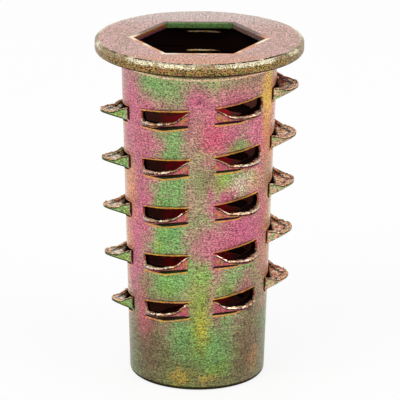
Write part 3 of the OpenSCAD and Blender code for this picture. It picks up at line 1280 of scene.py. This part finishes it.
@dataclass
class Insert:
    """The whole insert: barrel, head and thread ring made into one piece."""

    barrel: Barrel = field(default_factory=Barrel)
    head: Head = field(default_factory=Head)
    ring: ThreadRing = field(default_factory=ThreadRing)
    finish: Chromate = field(default_factory=Chromate)
    smooth_angle: float = 38.0
    side_tooth: float = 0.9
    wall_near: float = 0.06
    lip_near: float = 0.45
    slit_near: float = 0.26
    fold_near: float = 1.2

    def build(self) -> bpy.types.Object:
        """Makes the three forms, joins them and returns the piece, in metres."""
        piece = self.barrel.build()
        LOG.info("barrel: %d faces, %d teeth", len(piece.data.polygons), self.barrel.tooth_count)
        head = self.head.build(self.barrel)
        LOG.info("head: %d faces", len(head.data.polygons))
        ring = self.ring.build(self.barrel)
        LOG.info("thread ring: %d faces", len(ring.data.polygons))
        combine(piece, head, Merge.JOIN)
        combine(piece, ring, Merge.JOIN)
        piece.name = "insert"
        piece.data.name = "insert"
        self.mark(piece)
        only(piece)
        bpy.ops.object.shade_smooth_by_angle(angle=math.radians(self.smooth_angle))
        piece.scale = (MM, MM, MM)
        bpy.ops.object.transform_apply(location=False, rotation=False, scale=True)
        return piece

    def mark(self, piece: bpy.types.Object) -> None:
        """Marks how far each place is from a lip, a slit and the creases round a tooth.

        Args:
            piece: the joined piece, in millimetres.
        """
        form = self.barrel
        places = coordinates(piece)
        spread = from_axis(places)
        angle = np.degrees(np.arctan2(places[:, 1], places[:, 0]))
        share = np.mod((form.first_angle - angle) / form.step, form.teeth_per_turn)
        level = (form.first_slit - places[:, 2]) / form.rise
        along = share + form.teeth_per_turn * np.round((level - share - 0.7) / form.teeth_per_turn)
        tooth = np.round(along)
        turn = np.abs(tooth - along) * form.step
        below = places[:, 2] - (form.first_slit - form.rise * along)
        proud = spread - form.radius(places[:, 2])
        there = (tooth >= 0) & (tooth < form.tooth_count)
        held = there & (turn < form.span / 2)
        side = np.clip(turn / (form.span / 2), 0, 1)
        lip = form.lip_height(side)
        crease = -form.keel_drop + (form.keel_drop - form.fold_height) * side

        middle = np.radians(form.first_angle - form.step * tooth)
        aside = np.abs(np.cos(middle)) > self.side_tooth
        depth = np.empty(len(places), np.float32)
        piece.data.attributes["depth"].data.foreach_get("value", depth)
        seen = (places[:, 1] < 2.5) | (depth < 0.4)
        front = np.abs(np.degrees(np.arctan2(places[:, 0], -places[:, 1])))
        outer = ~aside & (front > np.abs(np.degrees(np.arctan2(np.cos(middle), -np.sin(middle)))))
        torn = seen & ~(outer & (side > 0.72))
        near_lip = held & torn & (below < -0.015) & (proud > -form.sheet - 0.05)
        near_slit = held & (below > -0.03) & (np.abs(proud + form.sheet / 2) < self.slit_near)
        skin = np.abs(proud) < self.wall_near
        on_wall = held & skin & (below < crease + 0.1)
        beside = there & aside & skin & (np.abs(turn - form.span / 2 - self.fold_near / 2) < self.fold_near)
        beside &= (below > -form.fold_height) & (below < 0.1)
        # The fall and fold marks place painted shade in the creases round the teeth, and a painted highlight
        # line under them.
        marks = {
            "lip": np.where(near_lip, np.abs(below - lip) / np.where(aside, 1.0, 1.5 - side / 2), FAR),
            "slit": np.where(near_slit, np.maximum(below, 0), FAR),
            "fall": np.where(on_wall, crease - below, FAR),
            "fold": beside.astype(float),
            "pale": held & aside & (np.abs(below - lip + 0.2) < self.lip_near),
        }
        for name, value in marks.items():
            layer = piece.data.attributes.new(name, "FLOAT", "POINT")
            layer.data.foreach_set("value", value.astype(np.float32))

    def dress(self, piece: bpy.types.Object) -> None:
        """Gives the piece its finish, and puts it in the place of the CAD node."""
        piece.data.materials.clear()
        piece.data.materials.append(self.finish.make(self.barrel))
        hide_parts("insert_body")
        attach(piece, "root")


@dataclass
class Studio:
    """The white floor, the soft light and the camera at the photograph's angle."""

    elevation: float = 18.19
    distance: float = 0.25
    focal_pixels: float = 3464.75
    centre: tuple[float, float] = (198.2, 204.9)
    roll: float = 0.455
    middle: float = 0.0125
    image: int = 400
    sensor: float = 36.0
    floor_size: float = 4.0
    floor_white: float = 0.85
    ambient: float = 0.7

    @staticmethod
    def seen(graph: Graph) -> Value:
        """Returns where a ray shows the background: to the camera, or in a reflection or glass."""
        path = graph.node("ShaderNodeLightPath")
        return path["Is Camera Ray"] | path["Is Glossy Ray"] | path["Is Transmission Ray"]

    def floor(self) -> None:
        """Makes the floor, white to the camera and to reflections, with the object's shadow kept."""
        bpy.ops.object.select_all(action="DESELECT")
        bpy.ops.mesh.primitive_plane_add(size=self.floor_size)
        floor = bpy.context.object
        floor.name = "floor"
        material = bpy.data.materials.new("white_paper")
        material.use_nodes = True
        graph = Graph(material.node_tree)
        paper = graph.node(
            "ShaderNodeBsdfPrincipled", sockets={"Base Color": (0.92, 0.92, 0.92, 1), "Roughness": 0.9}
        )[0]
        white = graph.node("ShaderNodeEmission", sockets={"Color": (1, 1, 1, 1), "Strength": 1.0})[0]
        share = self.seen(graph) * self.floor_white
        shader = graph.node("ShaderNodeMixShader", sockets={0: share, 1: paper, 2: white})[0]
        graph.node("ShaderNodeOutputMaterial", sockets={"Surface": shader})
        floor.data.materials.append(material)

    def world(self) -> None:
        """Makes the surroundings: white where they are seen or reflected, softer as a light."""
        world = bpy.data.worlds.new("white_room")
        bpy.context.scene.world = world
        world.use_nodes = True
        graph = Graph(world.node_tree)
        strength = self.seen(graph) * (1 - self.ambient) + self.ambient
        back = graph.node("ShaderNodeBackground", sockets={"Color": (1, 1, 1, 1), "Strength": strength})[0]
        graph.node("ShaderNodeOutputWorld", sockets={"Surface": back})

    def lamp(self, name: str, place: tuple, size: float, power: float) -> None:
        """Adds a soft square lamp that faces the insert.

        Args:
            name: the lamp's name.
            place: where it stands, in metres.
            size: length of its sides, in metres.
            power: its power, in watts.
        """
        data = bpy.data.lights.new(name, "AREA")
        data.size = size
        data.energy = power
        lamp = bpy.data.objects.new(name, data)
        bpy.context.scene.collection.objects.link(lamp)
        lamp.location = place
        aim = Vector((0, 0, self.middle)) - lamp.location
        lamp.rotation_euler = aim.to_track_quat("-Z", "Y").to_euler()

    def camera(self) -> None:
        """Makes the camera from the fit to the photograph."""
        data = bpy.data.cameras.new("camera")
        camera = bpy.data.objects.new("camera", data)
        bpy.context.scene.collection.objects.link(camera)
        lean = math.radians(self.elevation)
        camera.location = (0, -self.distance * math.cos(lean), self.middle + self.distance * math.sin(lean))
        camera.rotation_mode = "QUATERNION"
        tilt = Vector((1, 0, 0)), math.radians(90) - lean
        spin = Vector((0, 0, 1)), math.radians(self.roll)
        camera.rotation_quaternion = Quaternion(*tilt) @ Quaternion(*spin)
        data.sensor_width = self.sensor
        data.lens = self.sensor * self.focal_pixels / self.image
        data.shift_x = (self.image / 2 - self.centre[0]) / self.image
        data.shift_y = (self.centre[1] - self.image / 2) / self.image
        data.clip_start = 0.01
        bpy.context.scene.camera = camera

    def build(self) -> None:
        """Sets up the floor, the lamps, the surroundings and the camera."""
        self.floor()
        self.world()
        self.lamp("key", place=(-0.25, -0.3, 0.45), size=0.3, power=1.2)
        self.lamp("fill", place=(0.35, -0.25, 0.3), size=0.3, power=0.6)
        self.camera()
        bpy.context.scene.view_settings.view_transform = "Standard"


def main() -> None:
    """Builds the insert and the studio, and reports each piece."""
    logging.basicConfig(level=logging.INFO, format="%(message)s")
    insert = Insert()
    piece = insert.build()
    insert.dress(piece)
    LOG.info("insert: %d faces", len(piece.data.polygons))
    Studio().build()


if __name__ == "__main__":
    main()
